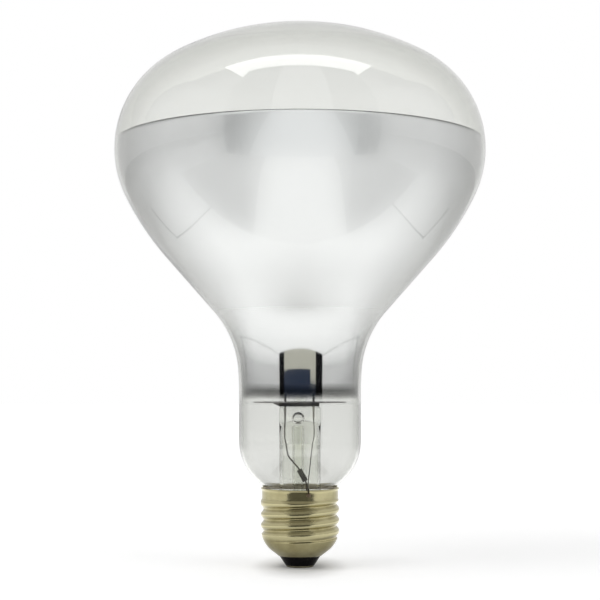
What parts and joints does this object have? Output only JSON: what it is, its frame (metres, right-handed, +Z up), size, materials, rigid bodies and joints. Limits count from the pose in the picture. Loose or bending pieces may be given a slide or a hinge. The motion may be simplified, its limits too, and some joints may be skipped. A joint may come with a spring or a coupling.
{
  "type": "reflector bulb",
  "caption": "Mushroom-shaped clear-fronted reflector heat lamp: mirror-lined blown glass bowl, straight neck with a glass stem and wire mount inside, and a threaded brass screw cap.",
  "frame": {"origin": "centre of the centre contact's lower face, on which the lamp stands", "axes": "+Z up the lamp's axis from the contact to the face, -Y is the front where the side lead crosses the cap's rim, +X to the right of it"},
  "size_m": [0.1262, 0.1262, 0.1831],
  "materials": {
    "clear_glass": "clear, polished, blown",
    "reflector_film": "evaporated metal film, bright with a soft edge",
    "stem_glass": "clear pressed and drawn glass",
    "fuse_glass": "clear glass tube",
    "tungsten": "dull grey coiled wire",
    "nickel_wire": "drawn nickel wire",
    "molybdenum_wire": "drawn grey wire",
    "copper_clad_wire": "red-brown oxidised",
    "copper_wire": "drawn, lightly oxidised",
    "shield_sheet": "thin bright sheet",
    "nickel_strip": "folded nickel strip",
    "cap_brass": "pale bright brass, rolled",
    "cement": "matt baked cement",
    "dark_glass": "glossy black moulded glass",
    "solder": "soft solder, slightly matt"
  },
  "bodies": {
    "root": {"glass_envelope": "clear_glass", "reflector_film": "reflector_film", "glass_stem": "stem_glass", "exhaust_tube": "stem_glass", "arbor_rod": "stem_glass", "filament": "tungsten", "left_inner_lead": "nickel_wire", "right_inner_lead": "nickel_wire", "left_seal_wire": "copper_clad_wire", "right_seal_wire": "copper_clad_wire", "centre_lead": "copper_wire", "side_lead": "copper_wire", "fuse_sleeve": "fuse_glass", "side_weld": "solder", "heat_shield": "shield_sheet", "shield_strap": "nickel_strip", "cap_shell": "cap_brass", "capping_cement": "cement", "cap_insulator": "dark_glass", "centre_contact": "cap_brass", "centre_solder": "solder", "support_wire_1": "molybdenum_wire", "support_wire_2": "molybdenum_wire", "support_wire_3": "molybdenum_wire", "support_wire_4": "molybdenum_wire", "support_wire_5": "molybdenum_wire"}
  },
  "joints": []
}
